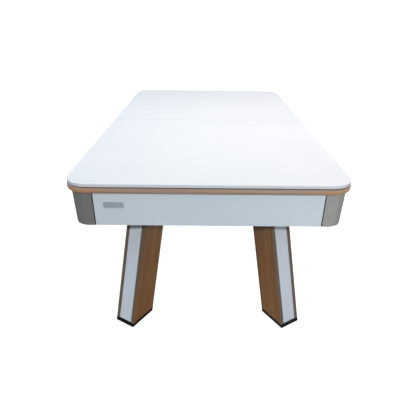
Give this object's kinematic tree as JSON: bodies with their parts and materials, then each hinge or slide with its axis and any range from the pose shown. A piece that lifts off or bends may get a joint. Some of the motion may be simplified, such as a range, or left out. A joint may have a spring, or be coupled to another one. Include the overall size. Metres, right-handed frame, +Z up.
{
  "type": "multi-game table",
  "caption": "Pool table with a lift-off white dining and table-tennis top, wood rails, white aprons, silver corner covers and splayed blade legs.",
  "frame": {"origin": "on the floor, under the middle of the top", "axes": "+Z up, +Y along the table from the front end to the rear end, +X to the right seen from the front end"},
  "size_m": [1.2, 2.16, 0.78],
  "materials": {
    "white_lacquer": "white lacquered board, semi-gloss",
    "oak": "brown oak veneer, satin, grain along the piece",
    "silver_paint": "silver-grey paint, satin",
    "foot_plastic": "black moulded foot",
    "black_rubber": "black rubber",
    "playing_cloth": "napped wool cloth, grey",
    "bed_board": "fibreboard, raw",
    "pocket_plastic": "black moulded cup",
    "beam_timber": "planed softwood",
    "black_steel": "black powder coat",
    "zinc_steel": "zinc-plated steel"
  },
  "bodies": {
    "table": {"apron_front": "white_lacquer", "apron_left": "white_lacquer", "apron_rear": "white_lacquer", "apron_right": "white_lacquer", "corner_cover_front_left": "silver_paint", "corner_cover_front_right": "silver_paint", "corner_cover_rear_left": "silver_paint", "corner_cover_rear_right": "silver_paint", "cross_beams": "beam_timber", "cushion_front": "playing_cloth", "cushion_left_front": "playing_cloth", "cushion_left_rear": "playing_cloth", "cushion_rear": "playing_cloth", "cushion_right_front": "playing_cloth", "cushion_right_rear": "playing_cloth", "leg_beam_front": "beam_timber", "leg_beam_rear": "beam_timber", "leg_bolts": "zinc_steel", "leg_front_left_core": "white_lacquer", "leg_front_left_foot": "foot_plastic", "leg_front_left_inner_board": "oak", "leg_front_left_outer_board": "oak", "leg_front_right_core": "white_lacquer", "leg_front_right_foot": "foot_plastic", "leg_front_right_inner_board": "oak", "leg_front_right_outer_board": "oak", "leg_plates": "black_steel", "leg_rear_left_core": "white_lacquer", "leg_rear_left_foot": "foot_plastic", "leg_rear_left_inner_board": "oak", "leg_rear_left_outer_board": "oak", "leg_rear_right_core": "white_lacquer", "leg_rear_right_foot": "foot_plastic", "leg_rear_right_inner_board": "oak", "leg_rear_right_outer_board": "oak", "playfield_bed": "bed_board", "playfield_cloth": "playing_cloth", "pocket_front_left": "pocket_plastic", "pocket_front_right": "pocket_plastic", "pocket_left": "pocket_plastic", "pocket_rear_left": "pocket_plastic", "pocket_rear_right": "pocket_plastic", "pocket_right": "pocket_plastic", "rail_front": "oak", "rail_left": "oak", "rail_rear": "oak", "rail_right": "oak"},
    "top_front": {"top_front_panel": "white_lacquer", "top_front_pads": "black_rubber"},
    "top_rear": {"top_rear_panel": "white_lacquer", "top_rear_pads": "black_rubber"},
    "leveller_pad_front_left": {"leg_front_left_leveller_pad": "black_rubber"},
    "leveller_stem_front_left": {"leg_front_left_leveller_stem": "zinc_steel"},
    "leveller_pad_front_right": {"leg_front_right_leveller_pad": "black_rubber"},
    "leveller_stem_front_right": {"leg_front_right_leveller_stem": "zinc_steel"},
    "leveller_pad_rear_left": {"leg_rear_left_leveller_pad": "black_rubber"},
    "leveller_stem_rear_left": {"leg_rear_left_leveller_stem": "zinc_steel"},
    "leveller_pad_rear_right": {"leg_rear_right_leveller_pad": "black_rubber"},
    "leveller_stem_rear_right": {"leg_rear_right_leveller_stem": "zinc_steel"}
  },
  "joints": [
    {"name": "top_front_lift", "type": "slide", "parent": "table", "child": "top_front", "axis": [0, 0, 1], "range_m": [0, 0.5]},
    {"name": "top_rear_lift", "type": "slide", "parent": "table", "child": "top_rear", "axis": [0, 0, 1], "range_m": [0, 0.5]},
    {"name": "leveller_front_left_lift", "type": "slide", "parent": "table", "child": "leveller_pad_front_left", "axis": [0, 0, -1], "range_m": [0, 0.012]},
    {"name": "leveller_front_left_turn", "type": "hinge", "parent": "leveller_pad_front_left", "child": "leveller_stem_front_left", "pos_m": [-0.37278, -0.95556, 0.006], "axis": [0, 0, -1], "range_deg": [0, 2160]},
    {"name": "leveller_front_right_lift", "type": "slide", "parent": "table", "child": "leveller_pad_front_right", "axis": [0, 0, -1], "range_m": [0, 0.012]},
    {"name": "leveller_front_right_turn", "type": "hinge", "parent": "leveller_pad_front_right", "child": "leveller_stem_front_right", "pos_m": [0.37278, -0.95556, 0.006], "axis": [0, 0, -1], "range_deg": [0, 2160]},
    {"name": "leveller_rear_left_lift", "type": "slide", "parent": "table", "child": "leveller_pad_rear_left", "axis": [0, 0, -1], "range_m": [0, 0.012]},
    {"name": "leveller_rear_left_turn", "type": "hinge", "parent": "leveller_pad_rear_left", "child": "leveller_stem_rear_left", "pos_m": [-0.37278, 0.95556, 0.006], "axis": [0, 0, -1], "range_deg": [0, 2160]},
    {"name": "leveller_rear_right_lift", "type": "slide", "parent": "table", "child": "leveller_pad_rear_right", "axis": [0, 0, -1], "range_m": [0, 0.012]},
    {"name": "leveller_rear_right_turn", "type": "hinge", "parent": "leveller_pad_rear_right", "child": "leveller_stem_rear_right", "pos_m": [0.37278, 0.95556, 0.006], "axis": [0, 0, -1], "range_deg": [0, 2160]}
  ],
  "couplings": [
    {"joint": "leveller_front_left_turn", "follows": "leveller_front_left_lift", "rad_per_m": 3141.6},
    {"joint": "leveller_front_right_turn", "follows": "leveller_front_right_lift", "rad_per_m": 3141.6},
    {"joint": "leveller_rear_left_turn", "follows": "leveller_rear_left_lift", "rad_per_m": 3141.6},
    {"joint": "leveller_rear_right_turn", "follows": "leveller_rear_right_lift", "rad_per_m": 3141.6}
  ]
}
